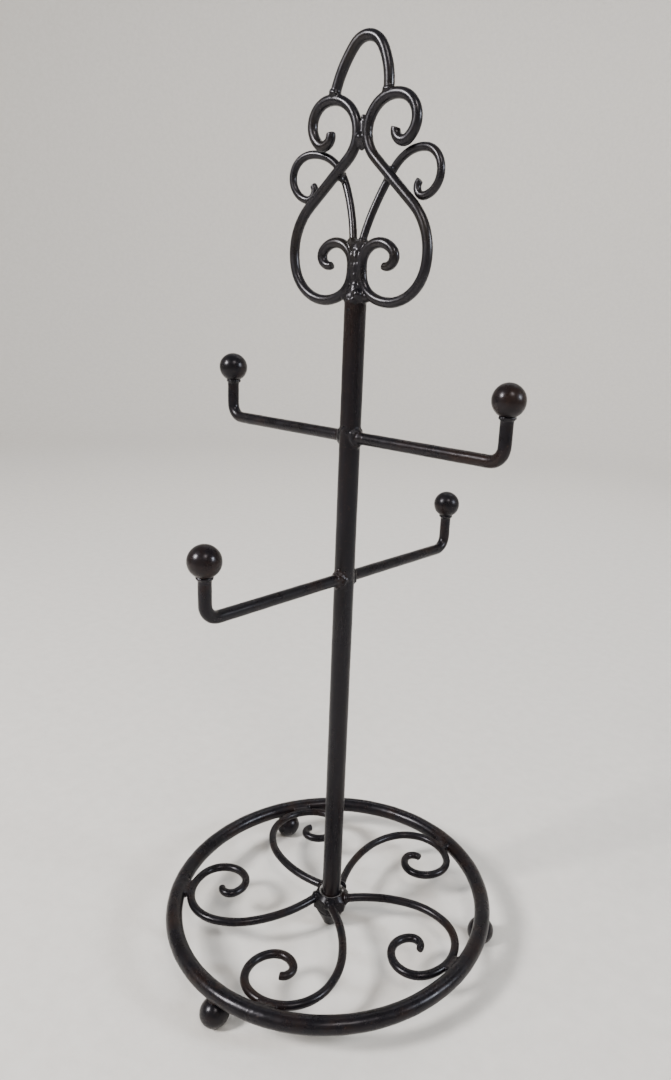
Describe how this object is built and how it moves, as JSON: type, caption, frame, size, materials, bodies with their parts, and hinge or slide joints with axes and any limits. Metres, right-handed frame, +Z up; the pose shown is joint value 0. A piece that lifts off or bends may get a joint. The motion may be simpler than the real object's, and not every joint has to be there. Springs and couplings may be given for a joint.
{
  "type": "towel rack",
  "caption": "Free-standing wrought-iron towel rack: scrollwork ring base on ball feet, slim post, upturned ball-ended arms and a flat scrolled finial with an arch handle.",
  "frame": {"origin": "on the surface the rack stands on, under the post's axis", "axes": "+Z up along the post, +X to the right along the flat finial, -Y the front that the finial faces"},
  "size_m": [0.1988, 0.1991, 0.485],
  "materials": {
    "dark_bronze_paint": "dark brown-black paint over hand-bent iron bar, satin with soft highlights, slightly uneven over the welds",
    "threaded_steel": "plain steel stud, hidden inside the hub"
  },
  "bodies": {
    "root": {"base_ring": "dark_bronze_paint", "foot_front": "dark_bronze_paint", "foot_rear_right": "dark_bronze_paint", "foot_rear_left": "dark_bronze_paint", "base_scroll_1": "dark_bronze_paint", "base_scroll_2": "dark_bronze_paint", "base_scroll_3": "dark_bronze_paint", "base_scroll_4": "dark_bronze_paint", "base_scroll_5": "dark_bronze_paint", "hub_nut": "dark_bronze_paint", "hub_taper_nut": "dark_bronze_paint", "post_tube": "dark_bronze_paint", "post_top_plug": "dark_bronze_paint", "arm_upper_right": "dark_bronze_paint", "ball_upper_right": "dark_bronze_paint", "arm_upper_left": "dark_bronze_paint", "ball_upper_left": "dark_bronze_paint", "arm_lower_front": "dark_bronze_paint", "ball_lower_front": "dark_bronze_paint", "arm_lower_rear": "dark_bronze_paint", "ball_lower_rear": "dark_bronze_paint", "lyre_right": "dark_bronze_paint", "lyre_left": "dark_bronze_paint", "side_scroll_right": "dark_bronze_paint", "side_scroll_left": "dark_bronze_paint", "top_arch": "dark_bronze_paint", "post_stud": "threaded_steel"}
  },
  "joints": []
}
